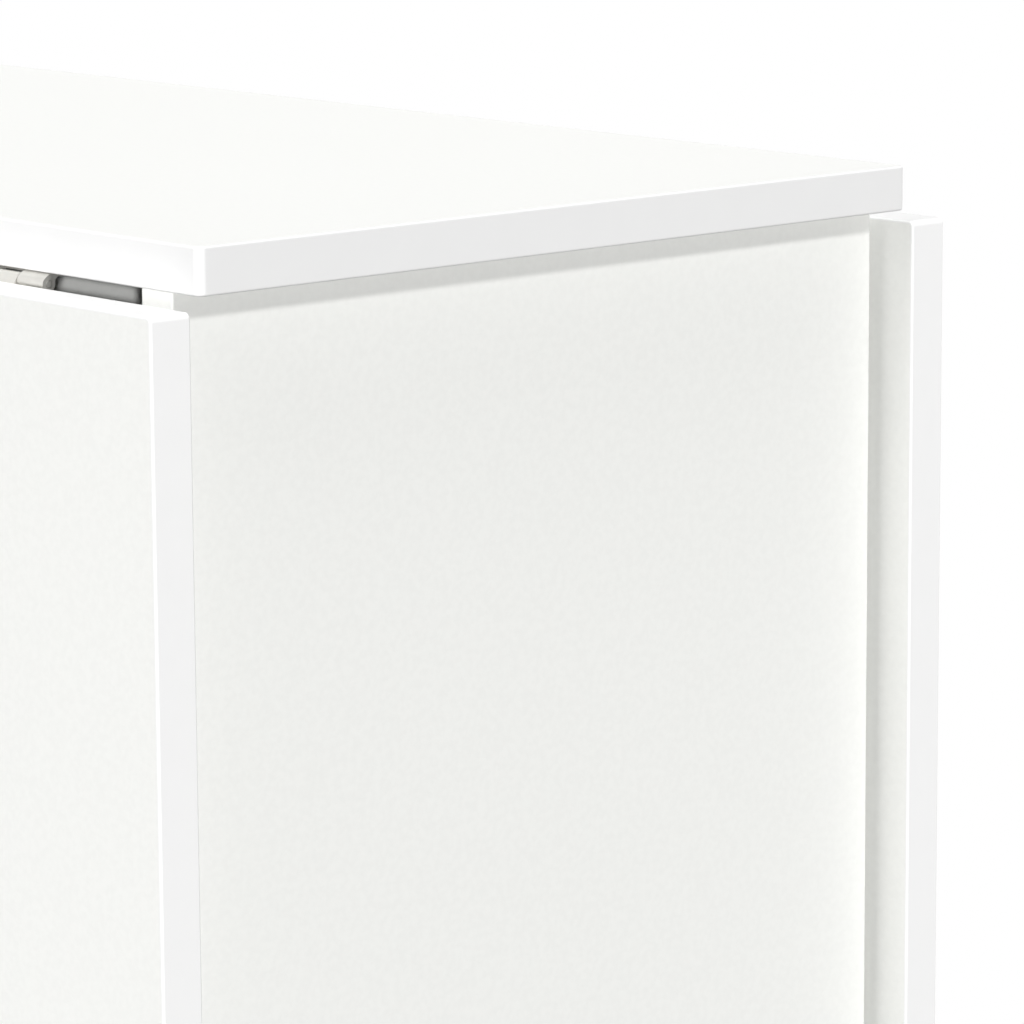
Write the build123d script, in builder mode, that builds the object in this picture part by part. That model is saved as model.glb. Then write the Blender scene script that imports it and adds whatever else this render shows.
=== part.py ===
from build123d import *
import math
import os

# White drop-leaf bookcase cabinet.  Millimetres.
# Origin: floor level, centre of the footprint.  +X along the length, +Y to the rear, +Z up.

# ---------------------------------------------------------------- driving dimensions
BOARD = 15.0            # melamine-faced chipboard, one thickness throughout
BAND = 1.0              # plastic edge band on the top and the two leaves
BAND_R = 0.8            # rounding along the band's long edges
TOP_CORNER_R = 3.0      # rounding of the top's corners, seen in plan
LEAF_CORNER_R = 2.0     # and of the leaves' corners

TOP_L = 800.0           # length of the top and of the leaves
TOP_D = 300.0           # depth of the fixed top
TOP_Z = 750.0           # height of the top surface
UNDER_Z = TOP_Z - BOARD # underside of the top

OVERHANG = 15.0         # top past the side panels, at each end
SIDE_OUT = TOP_L / 2 - OVERHANG
SIDE_IN = SIDE_OUT - BOARD
SIDE_Y = TOP_D / 2 - 1.5    # half depth of the side panels
GLIDE_H = 4.0

# hinge axis of a leaf: on the top's edge plane, just below its underside
AXIS_Y = TOP_D / 2
AXIS_DROP = 3.3
AXIS_Z = UNDER_Z - AXIS_DROP
LEAF_H = 650.0
LEAF_CLEAR = 0.7        # leaf edge to the hinge axis
LEAF_TOP = AXIS_Z - LEAF_CLEAR
LEAF_BOTTOM = LEAF_TOP - LEAF_H
LEAF_IN = AXIS_Y + AXIS_DROP    # inner face of a hanging leaf
LEAF_OUT = LEAF_IN + BOARD

# butt hinges
HINGE_X = (-306.0, 0.0, 306.0)
HINGE_W = 40.0
KNUCKLE = 13.2          # length of the middle knuckle
KNUCKLE_GAP = 0.2
BARREL_R = 2.4
PLATE_T = 1.2
PLATE_D = 28.0          # plate reach from the axis
NOTCH = 3.6             # full plate width starts this far from the axis
PIN_R = 1.2
PIN_CLEAR = 0.06
SCREW_R = 1.5
SCREW_HEAD_R = 2.7
SCREW_L = 12.5
SCREWS = ((-13.0, 20.0), (0.0, 13.0), (13.0, 20.0))   # across, from the axis

# slotted stays: leaf pivot and carcass stud stand equally far from the hinge axis
STAY_R = 76.0
Q_ANG = math.radians(85.0)
P_ANG = math.radians(40.0)
Q_IN, Q_DN = STAY_R * math.cos(Q_ANG), STAY_R * math.sin(Q_ANG)
P_IN, P_DN = STAY_R * math.cos(P_ANG), STAY_R * math.sin(P_ANG)
Q_Y, Q_Z = -(AXIS_Y - Q_IN), AXIS_Z - Q_DN        # front leaf, hanging
P_Y, P_Z = -(AXIS_Y - P_IN), AXIS_Z - P_DN
STAY_TILT = math.degrees(math.atan2(P_Z - Q_Z, P_Y - Q_Y))
REACH_SHUT = 2 * STAY_R * math.sin((Q_ANG - P_ANG) / 2)
REACH_OPEN = 2 * STAY_R * math.sin((Q_ANG - P_ANG) / 2 + math.radians(45.0))
BAR_W, BAR_T = 14.0, 2.0
BAR_X = SIDE_IN - 4.0   # inner plane of the bar
STUD_R = 2.5
SLOT_HALF = 2.7
RIVET_R = 2.0

# carcass inside
CENTRE_T = BOARD
BOTTOM_Z = LEAF_BOTTOM              # underside of the bottom panel
SHELF_Y = 133.0                     # front edge of shelves, bottom panel and plinths
SHELF_END = SIDE_IN - 1.5
PITCH = 32.0
PIN_Z0 = 225.5
PIN_ROWS = 12
PIN_COLS = (30.0, 112.0)
SHELF_PIN_R = 2.5
LOWER_PIN_Z = PIN_Z0 + 2 * PITCH
UPPER_PIN_Z = PIN_Z0 + 9 * PITCH
LOWER_Z = LOWER_PIN_Z + SHELF_PIN_R     # underside of the lower shelves
UPPER_Z = UPPER_PIN_Z + SHELF_PIN_R
PLINTH_Z = 10.0

# knock-down fittings
CAM_R, CAM_D = 7.5, 12.5
CAM_SET = 24.0          # cam centre from the joint face
BOLT_R = 3.0
BOLT_IN = 11.0          # bolt length screwed into the other board
DOWEL_R = 4.0
CAM_Y = (-62.0, 62.0)
TOP_CAM_X = (-250.0, 0.0, 250.0)
DOWEL_Y = (-118.0, 118.0)
SIDE_X = (SIDE_OUT + SIDE_IN) / 2
BOTTOM_MID = BOTTOM_Z + BOARD / 2
PLINTH_Y = SHELF_Y - BOARD / 2

os.makedirs("parts", exist_ok=True)


def rows():
    return [PIN_Z0 + PITCH * i for i in range(PIN_ROWS)]


def stay_point(reach, y0=Q_Y, z0=Q_Z):
    a = math.radians(STAY_TILT)
    return (y0 + reach * math.cos(a), z0 + reach * math.sin(a))


# ---------------------------------------------------------------- top
with BuildPart() as top_panel:
    with BuildSketch(Plane.XY.offset(UNDER_Z)):
        RectangleRounded(TOP_L - 2 * BAND, TOP_D - 2 * BAND, TOP_CORNER_R - BAND)
    extrude(amount=BOARD)
    # pilot holes for the hinge screws
    with BuildSketch(Plane.XY.offset(UNDER_Z)):
        with Locations(*[(x + a, s * (AXIS_Y - d)) for x in HINGE_X for a, d in SCREWS for s in (-1, 1)]):
            Circle(SCREW_R)
    extrude(amount=SCREW_L - PLATE_T, mode=Mode.SUBTRACT)
    # cam bolts: two over each side panel, three over the centre panel
    with BuildSketch(Plane.XY.offset(UNDER_Z)):
        with Locations(*[(s * SIDE_X, y) for s in (-1, 1) for y in CAM_Y], *[(x, 0) for x in TOP_CAM_X]):
            Circle(BOLT_R)
    extrude(amount=BOLT_IN, mode=Mode.SUBTRACT)
    # dowels
    with BuildSketch(Plane.XY.offset(UNDER_Z)):
        with Locations(*[(s * SIDE_X, y) for s in (-1, 1) for y in DOWEL_Y], (-125, 0), (125, 0)):
            Circle(DOWEL_R)
    extrude(amount=11.0, mode=Mode.SUBTRACT)

with BuildPart() as top_edge_band:
    with BuildSketch(Plane.XY.offset(UNDER_Z)):
        RectangleRounded(TOP_L, TOP_D, TOP_CORNER_R)
        RectangleRounded(TOP_L - 2 * BAND, TOP_D - 2 * BAND, TOP_CORNER_R - BAND, mode=Mode.SUBTRACT)
    extrude(amount=BOARD)
    fillet([e for e in top_edge_band.edges().filter_by(Plane.XY)
            if e.bounding_box().max.X > TOP_L / 2 - 0.5 * BAND or e.bounding_box().min.X < -(TOP_L / 2 - 0.5 * BAND)
            or e.bounding_box().max.Y > TOP_D / 2 - 0.5 * BAND or e.bounding_box().min.Y < -(TOP_D / 2 - 0.5 * BAND)],
           radius=BAND_R)

# ---------------------------------------------------------------- side panels
with BuildPart() as side_panel_right:
    with BuildSketch(Plane.YZ.offset(SIDE_IN)):
        with Locations((0, (GLIDE_H + UNDER_Z) / 2)):
            Rectangle(2 * SIDE_Y, UNDER_Z - GLIDE_H)
    extrude(amount=BOARD)
    fillet([e for e in side_panel_right.edges().filter_by(Axis.Z)], radius=0.8)
    # rows of shelf-pin holes
    with BuildSketch(Plane.YZ.offset(SIDE_IN)):
        with Locations(*[(s * c, z) for s in (-1, 1) for c in PIN_COLS for z in rows()]):
            Circle(SHELF_PIN_R)
    extrude(amount=9.0, mode=Mode.SUBTRACT)
    # cam pockets under the top, and the bolt bores into them
    with BuildSketch(Plane.YZ.offset(SIDE_IN)):
        with Locations(*[(y, UNDER_Z - CAM_SET) for y in CAM_Y]):
            Circle(CAM_R)
    extrude(amount=CAM_D, mode=Mode.SUBTRACT)
    with BuildSketch(Plane.XY.offset(UNDER_Z - CAM_SET)):
        with Locations(*[(SIDE_X, y) for y in CAM_Y]):
            Circle(BOLT_R)
    extrude(amount=CAM_SET, mode=Mode.SUBTRACT)
    with BuildSketch(Plane.XY.offset(UNDER_Z - 19.0)):
        with Locations(*[(SIDE_X, y) for y in DOWEL_Y]):
            Circle(DOWEL_R)
    extrude(amount=19.0, mode=Mode.SUBTRACT)
    # bolts of the bottom panel
    with BuildSketch(Plane.YZ.offset(SIDE_IN)):
        with Locations(*[(y, BOTTOM_MID) for y in CAM_Y]):
            Circle(BOLT_R)
    extrude(amount=BOLT_IN, mode=Mode.SUBTRACT)
    # dowels of the plinths, the bottom panel and the centre panel
    with BuildSketch(Plane.YZ.offset(SIDE_IN)):
        with Locations((-PLINTH_Y, 42), (PLINTH_Y, 42), (0, 300), (0, 560), (-100, BOTTOM_MID), (100, BOTTOM_MID)):
            Circle(DOWEL_R)
    extrude(amount=11.0, mode=Mode.SUBTRACT)
    # screw holes of the stay studs
    with BuildSketch(Plane.YZ.offset(SIDE_IN)):
        with Locations((P_Y, P_Z), (-P_Y, P_Z)):
            Circle(SCREW_R)
    extrude(amount=11.0, mode=Mode.SUBTRACT)
    # nail holes of the glides
    with BuildSketch(Plane.XY.offset(GLIDE_H)):
        with Locations((SIDE_X, -120), (SIDE_X, 120)):
            Circle(1.25)
    extrude(amount=14.0, mode=Mode.SUBTRACT)

with BuildPart() as side_panel_left:
    mirror(side_panel_right.part, about=Plane.YZ)

# ---------------------------------------------------------------- centre and bottom
with BuildPart() as centre_panel:
    with BuildSketch(Plane.XZ.offset(-CENTRE_T / 2)):
        with Locations((0, (BOTTOM_Z + BOARD + UNDER_Z) / 2)):
            Rectangle(2 * SIDE_IN, UNDER_Z - BOTTOM_Z - BOARD)
    extrude(amount=CENTRE_T)
    with BuildSketch(Plane.XZ.offset(CENTRE_T / 2)):
        with Locations(*[(x, UNDER_Z - CAM_SET) for x in TOP_CAM_X]):
            Circle(CAM_R)
    extrude(amount=-CAM_D, mode=Mode.SUBTRACT)
    with BuildSketch(Plane.XY.offset(UNDER_Z - CAM_SET)):
        with Locations(*[(x, 0) for x in TOP_CAM_X]):
            Circle(BOLT_R)
    extrude(amount=CAM_SET, mode=Mode.SUBTRACT)
    with BuildSketch(Plane.XY.offset(UNDER_Z - 19.0)):
        with Locations((-125, 0), (125, 0)):
            Circle(DOWEL_R)
    extrude(amount=19.0, mode=Mode.SUBTRACT)
    with BuildSketch(Plane.XY.offset(BOTTOM_Z + BOARD)):
        with Locations((-200, 0), (0, 0), (200, 0)):
            Circle(DOWEL_R)
    extrude(amount=19.0, mode=Mode.SUBTRACT)
    with BuildSketch(Plane.YZ.offset(SIDE_IN)):
        with Locations((0, 300), (0, 560)):
            Circle(DOWEL_R)
    extrude(amount=-19.0, mode=Mode.SUBTRACT)
    with BuildSketch(Plane.YZ.offset(-SIDE_IN)):
        with Locations((0, 300), (0, 560)):
            Circle(DOWEL_R)
    extrude(amount=19.0, mode=Mode.SUBTRACT)

with BuildPart() as bottom_panel:
    with BuildSketch(Plane.XY.offset(BOTTOM_Z)):
        Rectangle(2 * SIDE_IN, 2 * SHELF_Y)
    extrude(amount=BOARD)
    fillet([e for e in bottom_panel.edges().filter_by(Axis.X)], radius=0.8)
    with BuildSketch(Plane.XY.offset(BOTTOM_Z)):
        with Locations(*[(s * (SIDE_IN - CAM_SET), y) for s in (-1, 1) for y in CAM_Y]):
            Circle(CAM_R)
    extrude(amount=CAM_D, mode=Mode.SUBTRACT)
    with BuildSketch(Plane.YZ.offset(SIDE_IN)):
        with Locations(*[(y, BOTTOM_MID) for y in CAM_Y]):
            Circle(BOLT_R)
    extrude(amount=-CAM_SET, mode=Mode.SUBTRACT)
    with BuildSketch(Plane.YZ.offset(-SIDE_IN)):
        with Locations(*[(y, BOTTOM_MID) for y in CAM_Y]):
            Circle(BOLT_R)
    extrude(amount=CAM_SET, mode=Mode.SUBTRACT)
    with BuildSketch(Plane.YZ.offset(SIDE_IN)):
        with Locations((-100, BOTTOM_MID), (100, BOTTOM_MID)):
            Circle(DOWEL_R)
    extrude(amount=-19.0, mode=Mode.SUBTRACT)
    with BuildSketch(Plane.YZ.offset(-SIDE_IN)):
        with Locations((-100, BOTTOM_MID), (100, BOTTOM_MID)):
            Circle(DOWEL_R)
    extrude(amount=19.0, mode=Mode.SUBTRACT)
    # dowels up into the centre panel, and down into the plinths
    with BuildSketch(Plane.XY.offset(BOTTOM_Z + BOARD)):
        with Locations((-200, 0), (0, 0), (200, 0)):
            Circle(DOWEL_R)
    extrude(amount=-11.0, mode=Mode.SUBTRACT)
    with BuildSketch(Plane.XY.offset(BOTTOM_Z)):
        with Locations(*[(x, s * PLINTH_Y) for x in (-230, 0, 230) for s in (-1, 1)]):
            Circle(DOWEL_R)
    extrude(amount=11.0, mode=Mode.SUBTRACT)

with BuildPart() as plinth_front:
    with BuildSketch(Plane.XZ.offset(SHELF_Y - BOARD)):
        with Locations((0, (PLINTH_Z + BOTTOM_Z) / 2)):
            Rectangle(2 * SIDE_IN, BOTTOM_Z - PLINTH_Z)
    extrude(amount=BOARD)
    with BuildSketch(Plane.XY.offset(BOTTOM_Z)):
        with Locations(*[(x, -PLINTH_Y) for x in (-230, 0, 230)]):
            Circle(DOWEL_R)
    extrude(amount=-19.0, mode=Mode.SUBTRACT)
    with BuildSketch(Plane.YZ.offset(SIDE_IN)):
        with Locations((-PLINTH_Y, 42)):
            Circle(DOWEL_R)
    extrude(amount=-19.0, mode=Mode.SUBTRACT)
    with BuildSketch(Plane.YZ.offset(-SIDE_IN)):
        with Locations((-PLINTH_Y, 42)):
            Circle(DOWEL_R)
    extrude(amount=19.0, mode=Mode.SUBTRACT)

with BuildPart() as plinth_rear:
    mirror(plinth_front.part, about=Plane.XZ)

# ---------------------------------------------------------------- shelves and their pins
with BuildPart() as shelf_front_lower:
    with BuildSketch(Plane.XY.offset(LOWER_Z)):
        with Locations((0, -(SHELF_Y + CENTRE_T / 2 + 0.5) / 2)):
            Rectangle(2 * SHELF_END, SHELF_Y - CENTRE_T / 2 - 0.5)
    extrude(amount=BOARD)
    fillet([e for e in shelf_front_lower.edges().filter_by(Axis.X)], radius=0.8)

with BuildPart() as shelf_front_upper:
    with BuildSketch(Plane.XY.offset(UPPER_Z)):
        with Locations((0, -(SHELF_Y + CENTRE_T / 2 + 0.5) / 2)):
            Rectangle(2 * SHELF_END, SHELF_Y - CENTRE_T / 2 - 0.5)
    extrude(amount=BOARD)
    fillet([e for e in shelf_front_upper.edges().filter_by(Axis.X)], radius=0.8)

with BuildPart() as shelf_rear_lower:
    mirror(shelf_front_lower.part, about=Plane.XZ)

with BuildPart() as shelf_rear_upper:
    mirror(shelf_front_upper.part, about=Plane.XZ)

with BuildPart() as shelf_pins:
    pin_points = [(s * c, z) for s in (-1, 1) for c in PIN_COLS for z in (LOWER_PIN_Z, UPPER_PIN_Z)]
    with BuildSketch(Plane.YZ.offset(SIDE_IN - 9.0)):
        with Locations(*pin_points):
            Circle(SHELF_PIN_R)
    extrude(amount=17.0)
    with BuildSketch(Plane.YZ.offset(SIDE_IN)):
        with Locations(*pin_points):
            Circle(3.75)
    extrude(amount=-1.0)
    mirror(about=Plane.YZ)

# ---------------------------------------------------------------- knock-down fittings
with BuildPart() as cam_bolts:
    with BuildSketch(Plane.XY.offset(UNDER_Z - CAM_SET)):
        with Locations(*[(s * SIDE_X, y) for s in (-1, 1) for y in CAM_Y], *[(x, 0) for x in TOP_CAM_X]):
            Circle(BOLT_R)
    extrude(amount=CAM_SET + BOLT_IN)
    with BuildSketch(Plane.YZ.offset(SIDE_IN - CAM_SET)):
        with Locations(*[(y, BOTTOM_MID) for y in CAM_Y]):
            Circle(BOLT_R)
    extrude(amount=CAM_SET + BOLT_IN)
    with BuildSketch(Plane.YZ.offset(-SIDE_IN - BOLT_IN)):
        with Locations(*[(y, BOTTOM_MID) for y in CAM_Y]):
            Circle(BOLT_R)
    extrude(amount=CAM_SET + BOLT_IN)

with BuildPart() as cam_locks:
    with BuildSketch(Plane.YZ.offset(SIDE_IN)):
        with Locations(*[(y, UNDER_Z - CAM_SET) for y in CAM_Y]):
            Circle(CAM_R)
    extrude(amount=CAM_D)
    with BuildSketch(Plane.YZ.offset(-SIDE_IN)):
        with Locations(*[(y, UNDER_Z - CAM_SET) for y in CAM_Y]):
            Circle(CAM_R)
    extrude(amount=-CAM_D)
    with BuildSketch(Plane.XZ.offset(CENTRE_T / 2)):
        with Locations(*[(x, UNDER_Z - CAM_SET) for x in TOP_CAM_X]):
            Circle(CAM_R)
    extrude(amount=-CAM_D)
    with BuildSketch(Plane.XY.offset(BOTTOM_Z)):
        with Locations(*[(s * (SIDE_IN - CAM_SET), y) for s in (-1, 1) for y in CAM_Y]):
            Circle(CAM_R)
    extrude(amount=CAM_D)
    # the bolt heads sit in the cams
    add(cam_bolts.part, mode=Mode.SUBTRACT)
    # cross slots for the screwdriver, in the faces that can be reached
    with BuildSketch(Plane.YZ.offset(SIDE_IN)):
        with Locations(*[(y, UNDER_Z - CAM_SET) for y in CAM_Y]):
            Rectangle(8, 1.6)
            Rectangle(1.6, 8)
    extrude(amount=1.8, mode=Mode.SUBTRACT)
    with BuildSketch(Plane.YZ.offset(-SIDE_IN)):
        with Locations(*[(y, UNDER_Z - CAM_SET) for y in CAM_Y]):
            Rectangle(8, 1.6)
            Rectangle(1.6, 8)
    extrude(amount=-1.8, mode=Mode.SUBTRACT)
    with BuildSketch(Plane.XZ.offset(CENTRE_T / 2)):
        with Locations(*[(x, UNDER_Z - CAM_SET) for x in TOP_CAM_X]):
            Rectangle(8, 1.6)
            Rectangle(1.6, 8)
    extrude(amount=-1.8, mode=Mode.SUBTRACT)
    with BuildSketch(Plane.XY.offset(BOTTOM_Z)):
        with Locations(*[(s * (SIDE_IN - CAM_SET), y) for s in (-1, 1) for y in CAM_Y]):
            Rectangle(8, 1.6)
            Rectangle(1.6, 8)
    extrude(amount=1.8, mode=Mode.SUBTRACT)

with BuildPart() as wood_dowels:
    with BuildSketch(Plane.XY.offset(UNDER_Z - 19.0)):
        with Locations(*[(s * SIDE_X, y) for s in (-1, 1) for y in DOWEL_Y], (-125, 0), (125, 0)):
            Circle(DOWEL_R)
    extrude(amount=30.0)
    with BuildSketch(Plane.XY.offset(BOTTOM_Z + BOARD - 11.0)):
        with Locations((-200, 0), (0, 0), (200, 0)):
            Circle(DOWEL_R)
    extrude(amount=30.0)
    with BuildSketch(Plane.XY.offset(BOTTOM_Z - 19.0)):
        with Locations(*[(x, s * PLINTH_Y) for x in (-230, 0, 230) for s in (-1, 1)]):
            Circle(DOWEL_R)
    extrude(amount=30.0)
    with BuildSketch(Plane.YZ.offset(SIDE_IN - 19.0)):
        with Locations((-PLINTH_Y, 42), (PLINTH_Y, 42), (0, 300), (0, 560), (-100, BOTTOM_MID), (100, BOTTOM_MID)):
            Circle(DOWEL_R)
    extrude(amount=30.0)
    with BuildSketch(Plane.YZ.offset(-SIDE_IN + 19.0)):
        with Locations((-PLINTH_Y, 42), (PLINTH_Y, 42), (0, 300), (0, 560), (-100, BOTTOM_MID), (100, BOTTOM_MID)):
            Circle(DOWEL_R)
    extrude(amount=-30.0)

with BuildPart() as glides:
    with BuildSketch(Plane.XY):
        with Locations(*[(s * SIDE_X, y) for s in (-1, 1) for y in (-120, 120)]):
            Circle(7.0)
    extrude(amount=GLIDE_H)
    fillet(glides.edges().group_by(Axis.Z)[0], radius=1.0)
    with BuildSketch(Plane.XY.offset(GLIDE_H)):
        with Locations(*[(s * SIDE_X, y) for s in (-1, 1) for y in (-120, 120)]):
            Circle(1.25)
    extrude(amount=14.0)

# ---------------------------------------------------------------- one countersunk screw, head at the origin, pointing +Z
with BuildPart() as screw:
    with BuildSketch(Plane.XZ):
        with BuildLine():
            Polyline((0, 0), (SCREW_HEAD_R, 0), (SCREW_R, PLATE_T), (SCREW_R, SCREW_L - 2.0), (0, SCREW_L), close=True)
        make_face()
    revolve(axis=Axis.Z)
    with BuildSketch(Plane.XY):
        Rectangle(2.6, 0.6)
        Rectangle(0.6, 2.6)
    extrude(amount=0.7, mode=Mode.SUBTRACT)

# ---------------------------------------------------------------- hinges, front
with BuildPart() as hinge_top_plates_front:
    # full-width plate, then the two outer knuckles with their webs
    with BuildSketch(Plane.XY.offset(UNDER_Z - PLATE_T)):
        with Locations(*[(x, -(AXIS_Y - (NOTCH + PLATE_D) / 2)) for x in HINGE_X]):
            Rectangle(HINGE_W, PLATE_D - NOTCH)
    extrude(amount=PLATE_T)
    fillet([e for e in hinge_top_plates_front.edges().filter_by(Axis.Z)
            if e.center().Y > -(AXIS_Y - PLATE_D + 1)], radius=3.0)
    for x in HINGE_X:
        for a in (KNUCKLE / 2 + KNUCKLE_GAP, -HINGE_W / 2):
            with BuildSketch(Plane.YZ.offset(x + a)):
                with Locations((-AXIS_Y, AXIS_Z)):
                    Circle(BARREL_R)
                with Locations((-AXIS_Y + (NOTCH + 1) / 2, UNDER_Z - PLATE_T / 2)):
                    Rectangle(NOTCH + 1, PLATE_T)
                with Locations((-AXIS_Y + BARREL_R / 2, AXIS_Z + (AXIS_DROP - PLATE_T / 2) / 2)):
                    Rectangle(BARREL_R, AXIS_DROP - PLATE_T / 2)
            extrude(amount=HINGE_W / 2 - KNUCKLE / 2 - KNUCKLE_GAP)
    with BuildSketch(Plane.YZ.offset(-TOP_L / 2)):
        with Locations((-AXIS_Y, AXIS_Z)):
            Circle(PIN_R)
    extrude(amount=TOP_L, mode=Mode.SUBTRACT)
    # countersunk holes
    with Locations(*[Location((x + a, -(AXIS_Y - d), UNDER_Z - PLATE_T)) for x in HINGE_X for a, d in SCREWS]):
        Cone(bottom_radius=SCREW_HEAD_R, top_radius=SCREW_R, height=PLATE_T,
             align=(Align.CENTER, Align.CENTER, Align.MIN), mode=Mode.SUBTRACT)

with BuildPart() as hinge_top_plates_rear:
    mirror(hinge_top_plates_front.part, about=Plane.XZ)

with BuildPart() as hinge_pins_front:
    for x in HINGE_X:
        with BuildSketch(Plane.YZ.offset(x - HINGE_W / 2)):
            with Locations((-AXIS_Y, AXIS_Z)):
                Circle(PIN_R)
        extrude(amount=HINGE_W)

with BuildPart() as hinge_pins_rear:
    mirror(hinge_pins_front.part, about=Plane.XZ)

with BuildPart() as hinge_top_screws:
    with Locations(*[Location((x + a, s * (AXIS_Y - d), UNDER_Z - PLATE_T))
                     for x in HINGE_X for a, d in SCREWS for s in (-1, 1)]):
        add(screw.part)

# ---------------------------------------------------------------- front leaf, hanging
leaf_screw_points = [(x + a, AXIS_Z - d) for x in HINGE_X for a, d in SCREWS]
BRACKET_X = (342.0, 355.0)
bracket_screw_points = [(s * x, Q_Z) for s in (-1, 1) for x in BRACKET_X]

with BuildPart() as leaf_front:
    with BuildSketch(Plane.XZ.offset(LEAF_IN)):
        with Locations((0, (LEAF_TOP + LEAF_BOTTOM) / 2)):
            RectangleRounded(TOP_L - 2 * BAND, LEAF_H - 2 * BAND, LEAF_CORNER_R - BAND)
    extrude(amount=BOARD)
    with BuildSketch(Plane.XZ.offset(LEAF_IN)):
        with Locations(*leaf_screw_points, *bracket_screw_points):
            Circle(SCREW_R)
    extrude(amount=SCREW_L - PLATE_T, mode=Mode.SUBTRACT)

with BuildPart() as leaf_front_edge_band:
    with BuildSketch(Plane.XZ.offset(LEAF_IN)):
        with Locations((0, (LEAF_TOP + LEAF_BOTTOM) / 2)):
            RectangleRounded(TOP_L, LEAF_H, LEAF_CORNER_R)
            RectangleRounded(TOP_L - 2 * BAND, LEAF_H - 2 * BAND, LEAF_CORNER_R - BAND, mode=Mode.SUBTRACT)
    extrude(amount=BOARD)
    fillet([e for e in leaf_front_edge_band.edges().filter_by(Plane.XZ)
            if e.bounding_box().max.X > TOP_L / 2 - 0.5 * BAND or e.bounding_box().min.X < -(TOP_L / 2 - 0.5 * BAND)
            or e.bounding_box().max.Z > LEAF_TOP - 0.5 * BAND or e.bounding_box().min.Z < LEAF_BOTTOM + 0.5 * BAND],
           radius=BAND_R)

with BuildPart() as hinge_leaf_plates_front:
    with BuildSketch(Plane.XZ.offset(LEAF_IN - PLATE_T)):
        with Locations(*[(x, AXIS_Z - (NOTCH + PLATE_D) / 2) for x in HINGE_X]):
            Rectangle(HINGE_W, PLATE_D - NOTCH)
    extrude(amount=PLATE_T)
    fillet([e for e in hinge_leaf_plates_front.edges().filter_by(Axis.Y)
            if e.center().Z < AXIS_Z - PLATE_D + 1], radius=3.0)
    for x in HINGE_X:
        with BuildSketch(Plane.YZ.offset(x - KNUCKLE / 2)):
            with Locations((-AXIS_Y, AXIS_Z)):
                Circle(BARREL_R)
            with Locations((-LEAF_IN + PLATE_T / 2, AXIS_Z - (0.9 + NOTCH + 1) / 2)):
                Rectangle(PLATE_T, NOTCH + 1 - 0.9)
            with Locations((-AXIS_Y - (AXIS_DROP - PLATE_T / 2) / 2, AXIS_Z - (BARREL_R + 0.9) / 2)):
                Rectangle(AXIS_DROP - PLATE_T / 2, BARREL_R - 0.9)
        extrude(amount=KNUCKLE)
    with BuildSketch(Plane.YZ.offset(-TOP_L / 2)):
        with Locations((-AXIS_Y, AXIS_Z)):
            Circle(PIN_R + PIN_CLEAR)
    extrude(amount=TOP_L, mode=Mode.SUBTRACT)
    with Locations(*[Location((x, -LEAF_IN + PLATE_T, z), (90, 0, 0)) for x, z in leaf_screw_points]):
        Cone(bottom_radius=SCREW_HEAD_R, top_radius=SCREW_R, height=PLATE_T,
             align=(Align.CENTER, Align.CENTER, Align.MIN), mode=Mode.SUBTRACT)

with BuildPart() as hinge_leaf_screws_front:
    with Locations(*[Location((x, -LEAF_IN + PLATE_T, z), (90, 0, 0)) for x, z in leaf_screw_points]):
        add(screw.part)

with BuildPart() as leaf_bumpers_front:
    with BuildSketch(Plane.XZ.offset(LEAF_IN)):
        with Locations(*[(s * SIDE_X, z) for s in (-1, 1) for z in (112.0, 420.0)]):
            Circle(4.5)
    extrude(amount=-4.4)
    fillet(leaf_bumpers_front.edges().group_by(Axis.Y)[-1], radius=1.2)

# ---------------------------------------------------------------- stays, front
EAR_X = BAR_X - 0.5 - 1.5
with BuildPart() as stay_brackets_front:
    with BuildSketch(Plane.XZ.offset(LEAF_IN - PLATE_T)):
        with Locations(((335.0 + EAR_X + 1.5) / 2, Q_Z)):
            RectangleRounded(EAR_X + 1.5 - 335.0, 16.0, 2.0)
    extrude(amount=PLATE_T)
    with BuildSketch(Plane.YZ.offset(EAR_X)):
        with Locations(((Q_Y - LEAF_IN) / 2, Q_Z)):
            Rectangle(LEAF_IN + Q_Y, 14.0)
        with Locations((Q_Y, Q_Z)):
            Circle(7.0)
    extrude(amount=1.5)
    with BuildSketch(Plane.YZ.offset(EAR_X)):
        with Locations((Q_Y, Q_Z)):
            Circle(RIVET_R)
    extrude(amount=1.5, mode=Mode.SUBTRACT)
    with Locations(*[Location((x, -LEAF_IN + PLATE_T, Q_Z), (90, 0, 0)) for x in BRACKET_X]):
        Cone(bottom_radius=SCREW_HEAD_R, top_radius=SCREW_R, height=PLATE_T,
             align=(Align.CENTER, Align.CENTER, Align.MIN), mode=Mode.SUBTRACT)
    mirror(about=Plane.YZ)

with BuildPart() as stay_bracket_screws_front:
    with Locations(*[Location((x, -LEAF_IN + PLATE_T, z), (90, 0, 0)) for x, z in bracket_screw_points]):
        add(screw.part)

with BuildPart() as stay_rivets_front:
    with BuildSketch(Plane.YZ.offset(EAR_X - 1.0)):
        with Locations((Q_Y, Q_Z)):
            Circle(3.5)
    extrude(amount=1.0)
    with BuildSketch(Plane.YZ.offset(EAR_X - 1.0)):
        with Locations((Q_Y, Q_Z)):
            Circle(RIVET_R)
    extrude(amount=BAR_X + BAR_T + 0.8 - (EAR_X - 1.0))
    with BuildSketch(Plane.YZ.offset(BAR_X + BAR_T + 0.3)):
        with Locations((Q_Y, Q_Z)):
            Circle(3.5)
    extrude(amount=1.0)
    fillet(stay_rivets_front.edges().group_by(Axis.X)[-1], radius=0.5)
    mirror(about=Plane.YZ)

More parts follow.
